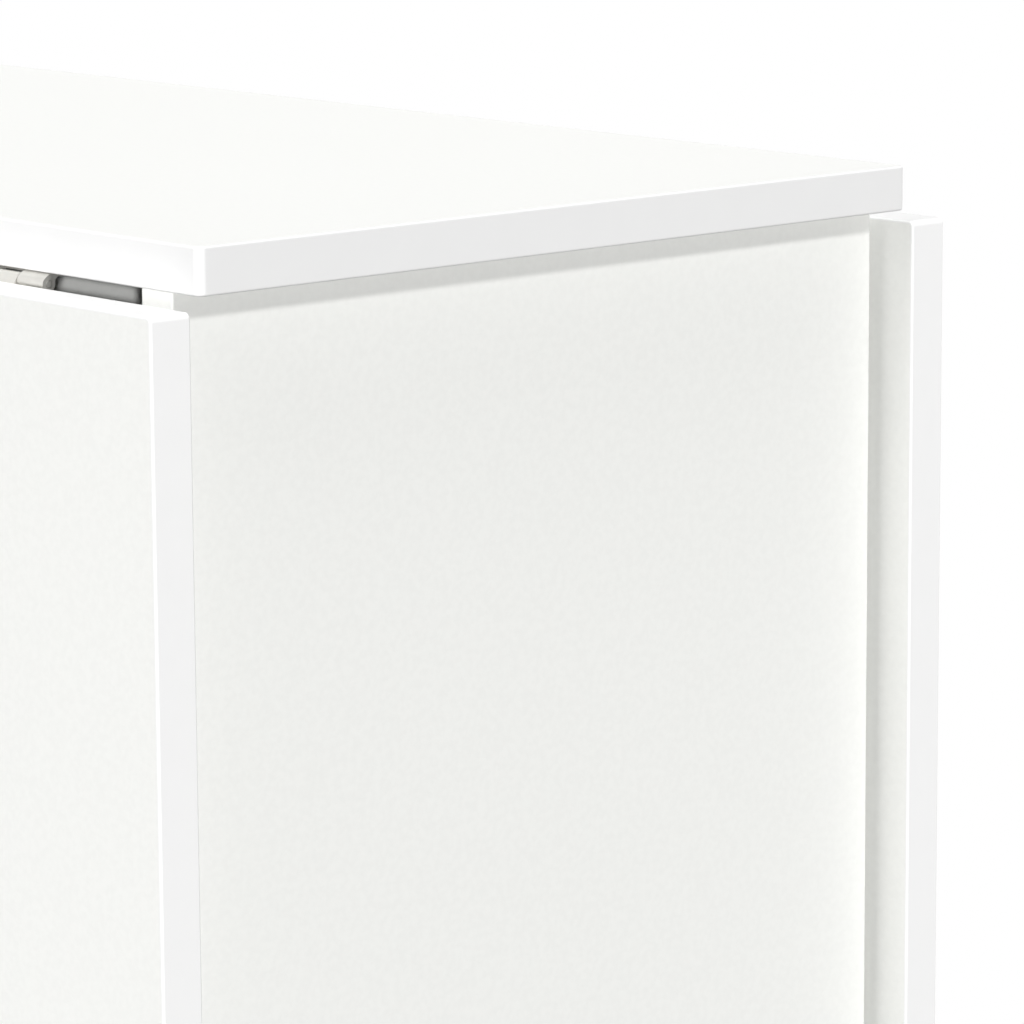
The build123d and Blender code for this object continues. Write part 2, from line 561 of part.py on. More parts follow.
with BuildPart() as stay_bars_front:
    with BuildSketch(Plane.YZ.offset(BAR_X)):
        with Locations(Location((*stay_point(REACH_OPEN / 2), 0), STAY_TILT)):
            SlotCenterToCenter(REACH_OPEN, BAR_W)
        with Locations(Location((*stay_point((REACH_SHUT + REACH_OPEN) / 2), 0), STAY_TILT)):
            SlotCenterToCenter(REACH_OPEN - REACH_SHUT + 0.6, 2 * SLOT_HALF, mode=Mode.SUBTRACT)
        with Locations((Q_Y, Q_Z)):
            Circle(RIVET_R + PIN_CLEAR, mode=Mode.SUBTRACT)
    extrude(amount=BAR_T)
    mirror(about=Plane.YZ)

with BuildPart() as stay_studs:
    stud_points = [(P_Y, P_Z), (-P_Y, P_Z)]
    with BuildSketch(Plane.YZ.offset(SIDE_IN)):
        with Locations(*stud_points):
            Circle(SCREW_R)
    extrude(amount=11.0)
    with BuildSketch(Plane.YZ.offset(SIDE_IN)):
        with Locations(*stud_points):
            Circle(4.5)
    extrude(amount=-1.5)
    with BuildSketch(Plane.YZ.offset(SIDE_IN)):
        with Locations(*stud_points):
            Circle(STUD_R)
    extrude(amount=-6.0)
    with BuildSketch(Plane.YZ.offset(BAR_X - 0.6)):
        with Locations(*stud_points):
            Circle(4.5)
    extrude(amount=-1.4)
    fillet(stay_studs.edges().group_by(Axis.X)[0], radius=0.6)
    mirror(about=Plane.YZ)

# ---------------------------------------------------------------- rear leaf and stays
with BuildPart() as leaf_rear:
    mirror(leaf_front.part, about=Plane.XZ)
with BuildPart() as leaf_rear_edge_band:
    mirror(leaf_front_edge_band.part, about=Plane.XZ)
with BuildPart() as hinge_leaf_plates_rear:
    mirror(hinge_leaf_plates_front.part, about=Plane.XZ)
with BuildPart() as hinge_leaf_screws_rear:
    mirror(hinge_leaf_screws_front.part, about=Plane.XZ)
with BuildPart() as leaf_bumpers_rear:
    mirror(leaf_bumpers_front.part, about=Plane.XZ)
with BuildPart() as stay_brackets_rear:
    mirror(stay_brackets_front.part, about=Plane.XZ)
with BuildPart() as stay_bracket_screws_rear:
    mirror(stay_bracket_screws_front.part, about=Plane.XZ)
with BuildPart() as stay_rivets_rear:
    mirror(stay_rivets_front.part, about=Plane.XZ)
with BuildPart() as stay_bars_rear:
    mirror(stay_bars_front.part, about=Plane.XZ)

# ---------------------------------------------------------------- labels and files
nodes = {
    "top_panel": top_panel, "top_edge_band": top_edge_band,
    "side_panel_left": side_panel_left, "side_panel_right": side_panel_right,
    "centre_panel": centre_panel, "bottom_panel": bottom_panel,
    "plinth_front": plinth_front, "plinth_rear": plinth_rear,
    "shelf_front_upper": shelf_front_upper, "shelf_front_lower": shelf_front_lower,
    "shelf_rear_upper": shelf_rear_upper, "shelf_rear_lower": shelf_rear_lower,
    "shelf_pins": shelf_pins, "cam_locks": cam_locks, "cam_bolts": cam_bolts,
    "wood_dowels": wood_dowels, "glides": glides,
    "hinge_top_plates_front": hinge_top_plates_front, "hinge_top_plates_rear": hinge_top_plates_rear,
    "hinge_pins_front": hinge_pins_front, "hinge_pins_rear": hinge_pins_rear,
    "hinge_top_screws": hinge_top_screws, "stay_studs": stay_studs,
    "leaf_front": leaf_front, "leaf_front_edge_band": leaf_front_edge_band,
    "hinge_leaf_plates_front": hinge_leaf_plates_front, "hinge_leaf_screws_front": hinge_leaf_screws_front,
    "leaf_bumpers_front": leaf_bumpers_front, "stay_brackets_front": stay_brackets_front,
    "stay_bracket_screws_front": stay_bracket_screws_front, "stay_rivets_front": stay_rivets_front,
    "stay_bars_front": stay_bars_front,
    "leaf_rear": leaf_rear, "leaf_rear_edge_band": leaf_rear_edge_band,
    "hinge_leaf_plates_rear": hinge_leaf_plates_rear, "hinge_leaf_screws_rear": hinge_leaf_screws_rear,
    "leaf_bumpers_rear": leaf_bumpers_rear, "stay_brackets_rear": stay_brackets_rear,
    "stay_bracket_screws_rear": stay_bracket_screws_rear, "stay_rivets_rear": stay_rivets_rear,
    "stay_bars_rear": stay_bars_rear,
}
for name, node in nodes.items():
    node.part.label = name
    export_step(node.part, f"parts/{name}.step")
print(len(nodes), "nodes; pivot", round(Q_Y, 3), round(Q_Z, 3), "stud", round(P_Y, 3), round(P_Z, 3),
      "reach", round(REACH_SHUT, 2), round(REACH_OPEN, 2), "axis", AXIS_Z)
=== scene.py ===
import bpy, bmesh, math
from mathutils import Vector, Matrix


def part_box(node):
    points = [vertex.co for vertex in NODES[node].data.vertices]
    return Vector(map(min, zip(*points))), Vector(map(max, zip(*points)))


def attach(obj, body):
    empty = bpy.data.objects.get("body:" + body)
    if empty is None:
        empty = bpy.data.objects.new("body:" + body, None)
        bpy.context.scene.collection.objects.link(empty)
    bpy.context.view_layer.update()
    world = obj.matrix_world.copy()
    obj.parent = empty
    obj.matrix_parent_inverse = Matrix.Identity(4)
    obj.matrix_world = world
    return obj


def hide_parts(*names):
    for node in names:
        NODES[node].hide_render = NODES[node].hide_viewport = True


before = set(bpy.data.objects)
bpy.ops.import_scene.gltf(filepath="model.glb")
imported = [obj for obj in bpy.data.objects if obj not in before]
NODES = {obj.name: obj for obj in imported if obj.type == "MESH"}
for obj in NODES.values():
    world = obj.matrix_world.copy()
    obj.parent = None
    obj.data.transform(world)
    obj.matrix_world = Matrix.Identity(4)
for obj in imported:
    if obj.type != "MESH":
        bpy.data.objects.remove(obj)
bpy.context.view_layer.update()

scene = bpy.context.scene
scene.view_settings.view_transform = "Standard"
scene.view_settings.look = "None"
scene.view_settings.exposure = 0.0
scene.view_settings.gamma = 1.0


# ------------------------------------------------------------------ node helpers
class Mat:
    """A small wrapper that keeps a material's node tree readable."""

    def __init__(self, name):
        self.m = bpy.data.materials.new(name)
        self.m.use_nodes = True
        self.t = self.m.node_tree
        self.t.nodes.clear()
        self.out = self.t.nodes.new("ShaderNodeOutputMaterial")
        self.bsdf = self.t.nodes.new("ShaderNodeBsdfPrincipled")
        self.t.links.new(self.bsdf.outputs[0], self.out.inputs["Surface"])
        co = self.t.nodes.new("ShaderNodeTexCoord")
        self.obj = co.outputs["Object"]

    def new(self, kind, **props):
        n = self.t.nodes.new(kind)
        for k, v in props.items():
            setattr(n, k, v)
        return n

    def link(self, a, b):
        self.t.links.new(a, b)

    def put(self, value, socket):
        if hasattr(value, "is_linked"):
            self.t.links.new(value, socket)
        else:
            socket.default_value = value

    def math(self, op, a, b=0.0, c=0.0, clamp=False):
        n = self.new("ShaderNodeMath", operation=op, use_clamp=clamp)
        for v, s in zip((a, b, c), n.inputs):
            self.put(v, s)
        return n.outputs[0]

    def scaled(self, scale):
        n = self.new("ShaderNodeMapping")
        self.link(self.obj, n.inputs["Vector"])
        n.inputs["Scale"].default_value = scale
        return n.outputs[0]

    def noise(self, scale, detail=3.0, rough=0.5, vec=None, dist=0.0):
        n = self.new("ShaderNodeTexNoise")
        self.link(vec or self.obj, n.inputs["Vector"])
        n.inputs["Scale"].default_value = scale
        n.inputs["Detail"].default_value = detail
        n.inputs["Roughness"].default_value = rough
        n.inputs["Distortion"].default_value = dist
        return n.outputs["Fac"]

    def ramp(self, fac, stops):
        n = self.new("ShaderNodeValToRGB")
        self.put(fac, n.inputs["Fac"])
        e = n.color_ramp.elements
        while len(e) > 1:
            e.remove(e[-1])
        for i, (p, c) in enumerate(stops):
            x = e[0] if i == 0 else e.new(p)
            x.position = p
            x.color = (*c, 1.0) if len(c) == 3 else c
        return n.outputs["Color"]

    def map(self, fac, a, b, lo, hi):
        n = self.new("ShaderNodeMapRange")
        self.put(fac, n.inputs["Value"])
        for k, v in (("From Min", a), ("From Max", b), ("To Min", lo), ("To Max", hi)):
            n.inputs[k].default_value = v
        return n.outputs[0]

    def mix(self, fac, a, b, kind="RGBA", blend="MIX"):
        n = self.new("ShaderNodeMix", data_type=kind)
        if kind == "RGBA":
            n.blend_type = blend
        ins = [s for s in n.inputs if s.enabled]
        outs = [s for s in n.outputs if s.enabled]
        self.put(fac, ins[0])
        for v, s in ((a, ins[1]), (b, ins[2])):
            if not hasattr(v, "is_linked") and kind == "RGBA" and len(v) == 3:
                v = (*v, 1.0)
            self.put(v, s)
        return outs[0]

    def bump(self, height, strength, distance):
        n = self.new("ShaderNodeBump")
        self.link(height, n.inputs["Height"])
        n.inputs["Strength"].default_value = strength
        n.inputs["Distance"].default_value = distance
        self.link(n.outputs[0], self.bsdf.inputs["Normal"])

    def xyz(self):
        n = self.new("ShaderNodeSeparateXYZ")
        self.link(self.obj, n.inputs[0])
        return n.outputs


def shade(c, k):
    return tuple(min(1.0, v * k) for v in c)


# ------------------------------------------------------------------ materials
def melamine(name, colour, thick_axis=None, lo=0.0, hi=0.0, banded=()):
    """White melamine paper with its fine pearl texture; chipboard where the core shows.
    thick_axis, lo, hi: the board's thickness; banded: (axis, low, high) where an edge is covered."""
    m = Mat(name)
    cloud = m.noise(2.2, 3.0, 0.55)
    fine = m.noise(420.0, 2.0, 0.6)
    white = m.ramp(cloud, [(0.3, shade(colour, 0.985)), (0.7, colour)])
    speck = m.ramp(fine, [(0.35, (0.975, 0.975, 0.975)), (0.65, (1, 1, 1))])
    white = m.mix(1.0, white, speck, blend="MULTIPLY")
    pearl = m.noise(1100.0, 2.0, 0.5)
    rough = m.map(fine, 0.3, 0.7, 0.33, 0.42)
    height = pearl
    if thick_axis is not None:
        axes = m.xyz()
        t = axes["XYZ".index(thick_axis)]
        skin = 0.00028
        mask = m.math("MULTIPLY", m.math("GREATER_THAN", t, lo + skin), m.math("LESS_THAN", t, hi - skin))
        for axis, a, b in banded:
            c = axes["XYZ".index(axis)]
            mask = m.math("MULTIPLY", mask, m.math("GREATER_THAN", c, a))
            mask = m.math("MULTIPLY", mask, m.math("LESS_THAN", c, b))
        flakes = m.new("ShaderNodeTexVoronoi", feature="F1")
        m.link(m.scaled((1.0, 1.0, 1.7)), flakes.inputs["Vector"])
        flakes.inputs["Scale"].default_value = 650.0
        chip = m.ramp(flakes.outputs["Color"], [(0.1, (0.36, 0.24, 0.13)), (0.45, (0.56, 0.41, 0.25)), (0.8, (0.69, 0.55, 0.37))])
        white = m.mix(mask, white, chip)
        rough = m.mix(mask, rough, 0.86, kind="FLOAT")
        height = m.mix(mask, pearl, flakes.outputs["Distance"], kind="FLOAT")
    m.link(white, m.bsdf.inputs["Base Color"])
    m.link(rough, m.bsdf.inputs["Roughness"])
    m.bsdf.inputs["Specular IOR Level"].default_value = 0.42
    m.bump(height, 0.16, 0.00006)
    return m.m


def edge_band(name, colour, upright=None):
    """Plastic edging: a touch glossier than the boards, with faint draw lines along its length.
    upright: (axis, low, high); the axis sets which way the draw lines run on the part's ends, beyond 0.3989 m from the
    middle along X; low and high are not used."""
    m = Mat(name)
    streak = m.noise(1.0, 2.0, 0.55, vec=m.scaled((2.0, 700.0, 700.0)))
    if upright:
        axis, a, b = upright
        x = m.math("ABSOLUTE", m.xyz()[0])
        end = m.math("GREATER_THAN", x, 0.3989)
        other = m.noise(1.0, 2.0, 0.55, vec=m.scaled((700.0, 700.0, 2.0) if axis == "Z" else (700.0, 2.0, 700.0)))
        streak = m.mix(end, streak, other, kind="FLOAT")
    soft = m.noise(90.0, 2.0, 0.5)
    m.link(m.ramp(soft, [(0.3, shade(colour, 0.99)), (0.7, colour)]), m.bsdf.inputs["Base Color"])
    m.link(m.map(streak, 0.3, 0.7, 0.36, 0.41), m.bsdf.inputs["Roughness"])
    m.bsdf.inputs["Specular IOR Level"].default_value = 0.32
    m.bump(streak, 0.012, 0.00003)
    return m.m


def plated(name, colour, r_lo, r_hi, grain=(60.0, 900.0, 900.0), metal=1.0):
    """Plated pressed steel: fine brushing under the plating and a little tarnish in the colour."""
    m = Mat(name)
    brush = m.noise(1.0, 3.0, 0.6, vec=m.scaled(grain))
    stain = m.noise(140.0, 4.0, 0.6)
    c = m.ramp(stain, [(0.3, shade(colour, 0.94)), (0.7, shade(colour, 1.02))])
    c = m.mix(0.35, c, m.ramp(brush, [(0.3, (0.84, 0.84, 0.84)), (0.7, (1, 1, 1))]), blend="MULTIPLY")
    m.link(c, m.bsdf.inputs["Base Color"])
    m.bsdf.inputs["Metallic"].default_value = metal
    m.link(m.map(brush, 0.3, 0.7, r_lo, r_hi), m.bsdf.inputs["Roughness"])
    m.bump(brush, 0.12, 0.00003)
    return m.m


def moulded(name, colour, rough, bump=0.1, sss=0.0, grain=700.0):
    m = Mat(name)
    soft = m.noise(180.0, 3.0, 0.5)
    fine = m.noise(grain, 2.0, 0.5)
    m.link(m.ramp(soft, [(0.3, shade(colour, 0.96)), (0.7, colour)]), m.bsdf.inputs["Base Color"])
    m.link(m.map(fine, 0.3, 0.7, rough - 0.04, rough + 0.05), m.bsdf.inputs["Roughness"])
    m.bsdf.inputs["Subsurface Weight"].default_value = sss
    m.bsdf.inputs["Subsurface Radius"].default_value = (0.002, 0.002, 0.002)
    m.bump(fine, bump, 0.00005)
    return m.m


def beech(name):
    m = Mat(name)
    grain = m.noise(1.0, 4.0, 0.6, vec=m.scaled((240.0, 240.0, 240.0)), dist=0.6)
    m.link(m.ramp(grain, [(0.25, (0.50, 0.33, 0.19)), (0.55, (0.66, 0.47, 0.29)), (0.8, (0.74, 0.57, 0.38))]),
           m.bsdf.inputs["Base Color"])
    m.link(m.map(grain, 0.2, 0.8, 0.5, 0.7), m.bsdf.inputs["Roughness"])
    m.bump(grain, 0.3, 0.0001)
    return m.m


WHITE = (0.872, 0.876, 0.852)
# painted light: the leaves' white is a lighter copy of the carcass melamine WHITE, standing in for the brighter light
# on the leaves' faces
WHITE_LEAF_PAINTED_LIGHT = (0.908, 0.912, 0.888)
# painted shade: the top's edge band is a darker copy of the same edging as the leaves (BAND_LEAF), toning down the
# light that falls on it
BAND_TOP_PAINTED_SHADE = (0.825, 0.825, 0.823)
BAND_LEAF = (0.900, 0.900, 0.898)
finish = {}


def board(node, axis, banded=(), colour=WHITE):
    lo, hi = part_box(node)
    i = "XYZ".index(axis)
    finish[node] = melamine("melamine_" + node, colour, axis, lo[i], hi[i], banded)


b = 0.001
board("top_panel", "Z", colour=WHITE)
for n in ("side_panel_left", "side_panel_right"):
    board(n, "X", [("Y", -0.1485 + b, 0.1485 - b)])
board("centre_panel", "Y")
board("bottom_panel", "Z", [("Y", -0.133 + b, 0.133 - b)])
for n in ("plinth_front", "plinth_rear"):
    board(n, "Y", [("Z", 0.0, 1.0)])
for n in ("shelf_front_upper", "shelf_front_lower"):
    board(n, "Z", [("Y", -0.133 + b, 1.0)])
for n in ("shelf_rear_upper", "shelf_rear_lower"):
    board(n, "Z", [("Y", -1.0, 0.133 - b)])
# the leaves take the lighter, painted-light copy of the white melamine
for n in ("leaf_front", "leaf_rear"):
    board(n, "Y", colour=WHITE_LEAF_PAINTED_LIGHT)

# the top's edge band takes the darker, painted-shade copy of the edging colour
band_top = edge_band("band_top", BAND_TOP_PAINTED_SHADE, ("Y", 0, 0))
band_leaf = edge_band("band_leaf", BAND_LEAF, ("Z", 0, 0))
nickel = plated("nickel_hinge", (0.70, 0.688, 0.65), 0.34, 0.46, metal=0.7)
nickel_screw = plated("nickel_screw", (0.68, 0.66, 0.62), 0.18, 0.3, (500.0, 500.0, 500.0))
zinc = plated("zinc_stay", (0.72, 0.735, 0.76), 0.22, 0.36, (500.0, 60.0, 500.0))
cast = plated("zinc_cast", (0.58, 0.58, 0.58), 0.42, 0.6, (500.0, 500.0, 500.0))
steel_pin = plated("steel_pin", (0.70, 0.69, 0.67), 0.16, 0.28, (60.0, 700.0, 700.0))
glide_mat = moulded("glide_nylon", (0.83, 0.83, 0.80), 0.42)
bumper_mat = moulded("bumper_rubber", (0.84, 0.84, 0.81), 0.55)
finish.update({"top_edge_band": band_top, "leaf_front_edge_band": band_leaf, "leaf_rear_edge_band": band_leaf,
               "cam_locks": cast, "cam_bolts": steel_pin, "shelf_pins": steel_pin, "wood_dowels": beech("beech_dowel"),
               "glides": glide_mat, "leaf_bumpers_front": bumper_mat, "leaf_bumpers_rear": bumper_mat,
               "hinge_top_screws": nickel_screw})
for s in ("front", "rear"):
    finish.update({f"hinge_top_plates_{s}": nickel, f"hinge_leaf_plates_{s}": nickel, f"hinge_pins_{s}": steel_pin,
                   f"hinge_leaf_screws_{s}": nickel_screw, f"stay_bracket_screws_{s}": nickel_screw,
                   f"stay_brackets_{s}": zinc, f"stay_bars_{s}": zinc, f"stay_rivets_{s}": zinc})
finish["stay_studs"] = zinc

for name, o in NODES.items():
    mat = finish[name]
    if not o.material_slots:
        o.data.materials.append(mat)
    for s in o.material_slots:
        s.link = "OBJECT"
        s.material = mat

# ------------------------------------------------------------------ finer edge bands and hinges
MM = 0.001
SLOT_BAND, SLOT_HINGE, SLOT_PIN = "band_white", "hinge_nickel", "hinge_nickel"


def add_mesh(name, faces, mat, slot_name, body, *nodes):
    """faces: lists of (point, normal) corners, in metres; the normals are kept for the shading."""
    index, verts, polys, normals = {}, [], [], []
    for f in faces:
        ids = []
        for p, n in f:
            key = tuple(round(c, 8) for c in p)
            if key not in index:
                index[key] = len(verts)
                verts.append(key)
            if index[key] not in ids:
                ids.append(index[key])
                normals.append((index[key], len(polys), Vector(n).normalized()))
        if len(ids) < 3:
            normals = [q for q in normals if q[1] != len(polys)]
            continue
        polys.append(ids)
    me = bpy.data.meshes.new(name)
    me.from_pydata(verts, [], polys)
    for poly in me.polygons:
        poly.use_smooth = True
    me.normals_split_custom_set([tuple(q[2]) for q in normals])
    me.update()
    o = bpy.data.objects.new(name, me)
    scene.collection.objects.link(o)
    me.materials.append(mat)
    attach(o, body)
    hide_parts(*nodes)
    return o


def turned(faces, flip):
    return [list(reversed(f)) for f in faces] if flip else faces


def band_ring(length, width, corner, thick, edge, wall, place, flip=False, steps=12, round_steps=6):
    """A rounded rectangular ring; place maps (u, v, w) with w through the thickness."""
    half_u, half_v = length / 2, width / 2
    outline = []
    for k, (su, sv) in enumerate(((1, 1), (-1, 1), (-1, -1), (1, -1))):
        cu, cv = su * (half_u - corner), sv * (half_v - corner)
        for j in range(steps + 1):
            a = math.radians(90 * k + 90 * j / steps)
            outline.append((cu, cv, math.cos(a), math.sin(a)))
    profile = [(edge - edge * math.sin(math.radians(90 * j / round_steps)), edge - edge * math.cos(math.radians(90 * j / round_steps)),
                math.sin(math.radians(90 * j / round_steps)), -math.cos(math.radians(90 * j / round_steps)))
               for j in range(round_steps + 1)]
    profile += [(d, thick - w, nd, -nw) for d, w, nd, nw in reversed(profile)]
    origin = Vector(place(0, 0, 0))

    def at(u, v, w, n):
        return Vector(place(u, v, w)), Vector(place(*n)) - origin

    def corner_at(o, q):
        cu, cv, nu, nv = o[:4]
        d, w, nd, nw = q
        r = corner - d
        return at(cu + r * nu, cv + r * nv, w, (nd * nu, nd * nv, nw))

    faces = []
    for i, a in enumerate(outline):
        b2 = outline[(i + 1) % len(outline)]
        for q, r in zip(profile, profile[1:]):
            faces.append([corner_at(a, q), corner_at(b2, q), corner_at(b2, r), corner_at(a, r)])
        lo, hi, bottom, top_in = profile[0], profile[-1], (wall, 0, 0, -1), (wall, thick, 0, 1)
        faces.append([corner_at(a, bottom), corner_at(b2, bottom), corner_at(b2, lo), corner_at(a, lo)])
        faces.append([corner_at(a, hi), corner_at(b2, hi), corner_at(b2, top_in), corner_at(a, top_in)])
        inner0, inner1 = (wall, 0, -1, 0), (wall, thick, -1, 0)
        faces.append([corner_at(b2, inner0), corner_at(a, inner0), corner_at(a, inner1), corner_at(b2, inner1)])
    return turned(faces, flip)


T, LZ = 0.015, (0.731 + 0.081) / 2
add_mesh("top_band_ring", band_ring(0.8, 0.3, 0.003, T, 0.0008, 0.001, lambda u, v, w: (u, v, 0.735 + w)),
         band_top, SLOT_BAND, "carcass", "top_edge_band")
add_mesh("leaf_front_band_ring", band_ring(0.8, 0.65, 0.002, T, 0.0008, 0.001, lambda u, v, w: (u, -0.1533 - w, LZ + v)),
         band_leaf, SLOT_BAND, "leaf_front", "leaf_front_edge_band")
add_mesh("leaf_rear_band_ring", band_ring(0.8, 0.65, 0.002, T, 0.0008, 0.001, lambda u, v, w: (u, 0.1533 + w, LZ + v), flip=True),
         band_leaf, SLOT_BAND, "leaf_rear", "leaf_rear_edge_band")

# hinges: (x, along the plate from the axis, off the axis towards the board)
R, PT, DROP = 2.4, 1.2, 3.3


def knuckle(x0, x1, bore):
    """The rolled end of a plate: a curl round the pin that ramps up to the plate's plane."""
    out = []
    for j in range(41):
        a = math.radians(0.0 - 240.0 * j / 40)
        out.append((R * math.cos(a), R * math.sin(a), math.cos(a), math.sin(a)))
    ramp_n = (math.cos(math.radians(120)), math.sin(math.radians(120)))
    for k in range(1, 7):      # from the ramp round to the board side of the plate
        t = k / 6
        n = (ramp_n[0] * (1 - t), ramp_n[1] * (1 - t) + t)
        out.append((-1.2 + 2.3 * t + 0.2 * t * t, 2.078 + (DROP - 2.078) * (1 - (1 - t) ** 1.6), *n))
    out += [(3.7, DROP, 0, 1), (3.7, DROP - PT, 0, -1), (2.75, 1.55, 0.6, -0.8), (R, 0.8, 1, 0)]
    faces = []
    for p, q in zip(out, out[1:] + out[:1]):
        if p[:2] == (3.7, DROP):
            continue
        faces.append([((x0, *p[:2]), (0, *p[2:])), ((x1, *p[:2]), (0, *p[2:])), ((x1, *q[:2]), (0, *q[2:])), ((x0, *q[:2]), (0, *q[2:]))])
    ring = [(bore * math.cos(math.atan2(p[1], p[0])), bore * math.sin(math.atan2(p[1], p[0]))) for p in out]
    for x, s in ((x0, -1), (x1, 1)):
        for i in range(len(out)):
            j = (i + 1) % len(out)
            f = [((x, *ring[i]), (s, 0, 0)), ((x, *out[i][:2]), (s, 0, 0)), ((x, *out[j][:2]), (s, 0, 0)), ((x, *ring[j]), (s, 0, 0))]
            faces.append(f if s < 0 else list(reversed(f)))
    return faces


def wall(loop, w0, w1, k0=1.0, centre=(0, 0), inside=False):
    faces = []
    for i, p in enumerate(loop):
        q = loop[(i + 1) % len(loop)]
        e = Vector((q[0] - p[0], q[1] - p[1]))
        n = (e.y, -e.x, 0)
        faces.append([((*p, w0), n), ((*q, w0), n), ((*q, w1), n), ((*p, w1), n)])
    return faces


def plate(x):
    """Full-width part of a hinge plate with its three countersunk holes."""
    loop = [(x - 20, 3.6), (x + 20, 3.6)]
    for k, (cx, cy) in enumerate(((x + 17, 25.0), (x - 17, 25.0))):
        for j in range(9):
            a = math.radians(90 * k + 90 * j / 8)
            loop.append((cx + 3 * math.cos(a), cy + 3 * math.sin(a)))
    low, high = DROP - PT, DROP
    holes = []
    for dx, d in ((-13.0, 20.0), (0.0, 13.0), (13.0, 20.0)):
        ring = [(math.cos(2 * math.pi * j / 32), math.sin(2 * math.pi * j / 32)) for j in range(32)]
        holes.append(([(x + dx + 2.7 * c, d + 2.7 * s) for c, s in ring], [(x + dx + 1.5 * c, d + 1.5 * s) for c, s in ring]))
    faces = wall(loop, low, high)
    for big, small in holes:
        for i in range(32):
            j = (i + 1) % 32
            c = Vector((sum(p[0] for p in big) / 32, sum(p[1] for p in big) / 32))
            n1, n2 = c - Vector(big[i]), c - Vector(big[j])
            faces.append([((*big[j], low), (*n2, -2)), ((*big[i], low), (*n1, -2)), ((*small[i], high), (*n1, -2)), ((*small[j], high), (*n2, -2))])
    for w, s, pick in ((low, -1, 0), (high, 1, 1)):
        bm = bmesh.new()
        edges = []
        for lp in [loop] + [h[pick] for h in holes]:
            vs = [bm.verts.new((*p, w)) for p in lp]
            edges += [bm.edges.new((vs[i], vs[(i + 1) % len(vs)])) for i in range(len(vs))]
        bmesh.ops.triangle_fill(bm, edges=edges, use_beauty=True, use_dissolve=False, normal=(0, 0, s))
        for f in bm.faces:
            f.normal_update()
            cs = [tuple(v.co) for v in f.verts]
            if f.normal.z * s < 0:
                cs.reverse()
            faces.append([(c, (0, 0, s)) for c in cs])
        bm.free()
    return faces


def pin(x0, x1, r=1.2):
    ring = [(math.cos(2 * math.pi * j / 32), math.sin(2 * math.pi * j / 32)) for j in range(32)]
    faces = []
    for i in range(32):
        (a, b1), (c, d) = ring[i], ring[(i + 1) % 32]
        for (xa, ra, na), (xb, rb, nb) in (((x0, 0, -1), (x0, r - 0.15, -1)), ((x0, r - 0.15, -0.7), (x0 + 0.15, r, -0.3)),
                                           ((x0 + 0.15, r, 0), (x1 - 0.15, r, 0)), ((x1 - 0.15, r, 0.3), (x1, r - 0.15, 0.7)), ((x1, r - 0.15, 1), (x1, 0, 1))):
            ka, kb = math.sqrt(1 - na * na), math.sqrt(1 - nb * nb)
            faces.append([((xa, ra * c, ra * d), (na, ka * c, ka * d)), ((xb, rb * c, rb * d), (nb, kb * c, kb * d)),
                          ((xb, rb * a, rb * b1), (nb, kb * a, kb * b1)), ((xa, ra * a, ra * b1), (na, ka * a, ka * b1))])
    return faces


def set_in(faces, turn, flip):
    """Puts hinge faces, in millimetres about the axis, into the shared frame."""
    out = []
    for f in faces:
        g = [(tuple(turn(Vector(p) * MM, 1)), tuple(turn(Vector(n), 0))) for p, n in f]
        out.append(list(reversed(g)) if flip else g)
    return out


AY, AZ = 0.150, 0.7317
for side, sy in (("front", -1), ("rear", 1)):
    def on_top(v, k, sy=sy):
        return (v[0], sy * (k * AY - v[1]), k * AZ + v[2])

    def on_leaf(v, k, sy=sy):
        return (v[0], sy * (k * AY + v[2]), k * AZ - v[1])

    top_faces, leaf_faces, pin_faces = [], [], []
    for x in (-306.0, 0.0, 306.0):
        top_faces += plate(x) + knuckle(x - 20, x - 6.8, 1.2) + knuckle(x + 6.8, x + 20, 1.2)
        leaf_faces += plate(x) + knuckle(x - 6.6, x + 6.6, 1.26)
        pin_faces += pin(x - 20.0, x + 20.0)
    add_mesh(f"hinge_top_plates_{side}_fine", set_in(top_faces, on_top, sy > 0), nickel, SLOT_HINGE, "carcass", f"hinge_top_plates_{side}")
    add_mesh(f"hinge_leaf_plates_{side}_fine", set_in(leaf_faces, on_leaf, sy < 0), nickel, SLOT_HINGE, f"leaf_{side}", f"hinge_leaf_plates_{side}")
    add_mesh(f"hinge_pins_{side}_fine", set_in(pin_faces, on_top, sy > 0), nickel, SLOT_PIN, "carcass", f"hinge_pins_{side}")

# ------------------------------------------------------------------ floor, light, camera
def disc(name, radius, z, n=96):
    me = bpy.data.meshes.new(name)
    bm = bmesh.new()
    bmesh.ops.create_circle(bm, cap_ends=True, radius=radius, segments=n)
    bm.to_mesh(me)
    bm.free()
    o = bpy.data.objects.new(name, me)
    o.location.z = z
    scene.collection.objects.link(o)
    return o


FLOOR_R = 1.35
floor = disc("floor", FLOOR_R, 0.0, 128)
fm = Mat("floor_pale")
px, py, _ = fm.xyz()
radius = fm.math("SQRT", fm.math("ADD", fm.math("MULTIPLY", px, px), fm.math("MULTIPLY", py, py)))
# painted shade: the floor's colour darkens towards the object and lightens to white at the rim, a painted light
# falloff round the object
floor_painted_falloff = fm.map(radius, 0.5, FLOOR_R - 0.05, 0.60, 0.97)
speck = fm.ramp(fm.noise(60.0, 3.0, 0.5), [(0.3, (0.992, 0.992, 0.992)), (0.7, (1.0, 1.0, 1.0))])
tone = fm.new("ShaderNodeCombineColor")
for i in range(3):
    fm.link(floor_painted_falloff, tone.inputs[i])
fm.link(fm.mix(1.0, tone.outputs[0], speck, blend="MULTIPLY"), fm.bsdf.inputs["Base Color"])
fm.bsdf.inputs["Roughness"].default_value = 0.9
fm.bsdf.inputs["Specular IOR Level"].default_value = 0.1
floor.data.materials.append(fm.m)
floor.visible_diffuse = False  # the room lights the faces evenly from below as well

world = bpy.data.worlds.new("studio")
scene.world = world
world.use_nodes = True
bg = world.node_tree.nodes["Background"]
bg.inputs["Color"].default_value = (1.0, 1.0, 1.0, 1.0)
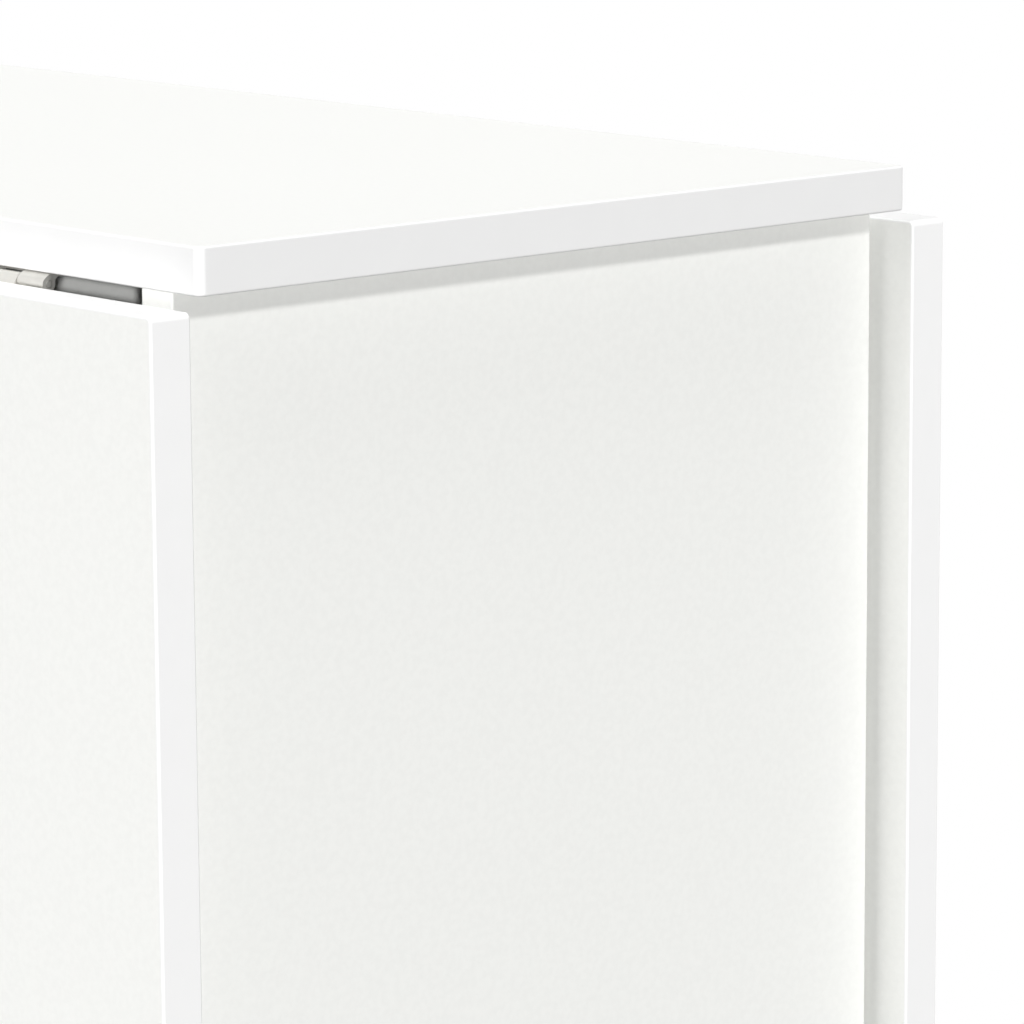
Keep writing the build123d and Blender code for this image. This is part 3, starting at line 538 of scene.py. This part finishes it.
# a dim room for diffuse light, a bright one in reflections and behind the floor
wn = world.node_tree
lp = wn.nodes.new("ShaderNodeLightPath")
w1 = wn.nodes.new("ShaderNodeMath")
w1.operation = "MULTIPLY_ADD"
wn.links.new(lp.outputs["Is Glossy Ray"], w1.inputs[0])
w1.inputs[1].default_value = 0.89
w1.inputs[2].default_value = 0.06
w2 = wn.nodes.new("ShaderNodeMath")
w2.operation = "MULTIPLY_ADD"
wn.links.new(lp.outputs["Is Camera Ray"], w2.inputs[0])
w2.inputs[1].default_value = 0.94
wn.links.new(w1.outputs[0], w2.inputs[2])
wn.links.new(w2.outputs[0], bg.inputs["Strength"])


def sun(name, direction, strength, angle, shine=True):
    """direction: the way the light comes from; shine: whether it shows in reflections."""
    d = bpy.data.lights.new(name, "SUN")
    d.energy = strength
    d.angle = math.radians(angle)
    o = bpy.data.objects.new(name, d)
    o.visible_glossy = shine
    o.rotation_euler = Vector(direction).normalized().to_track_quat("Z", "Y").to_euler()
    scene.collection.objects.link(o)


def polar(az, el):
    a, e = math.radians(az), math.radians(el)
    return (math.cos(a) * math.cos(e), math.sin(a) * math.cos(e), math.sin(e))


sun("top_soft", polar(-90, 86), 1.33, 40.0)
sun("key_side", polar(0, 31), 1.17, 6.0)
sun("front_soft", polar(-93, 20), 1.46, 12.0)
sun("lens_side", polar(-37.0, 7.8), 2.33, 0.8, False)
sun("back_soft", polar(96, 8), 1.85, 14.0, False)
sun("left_soft", polar(184, 8), 1.85, 14.0, False)

cam_data = bpy.data.cameras.new("camera")
cam = bpy.data.objects.new("camera", cam_data)
scene.collection.objects.link(cam)
scene.camera = cam
YAW, PITCH, ROLL, F_PX = -0.84229, 0.18284, -0.00591, 5009.65
cam_data.sensor_width = 36.0
cam_data.lens = F_PX * 36.0 / 1024.0
cam_data.clip_end = 200.0
fw = Vector((math.sin(YAW) * math.cos(PITCH), math.cos(YAW) * math.cos(PITCH), -math.sin(PITCH)))
rt = Vector((math.cos(YAW), -math.sin(YAW), 0.0))
up = rt.cross(fw)
rt, up = math.cos(ROLL) * rt + math.sin(ROLL) * up, math.cos(ROLL) * up - math.sin(ROLL) * rt
cam.matrix_world = Matrix((
    (rt.x, up.x, -fw.x, 0.400 + 1.15209),
    (rt.y, up.y, -fw.y, -0.150 - 0.90499),
    (rt.z, up.z, -fw.z, 0.750 + 0.19068),
    (0, 0, 0, 1)))
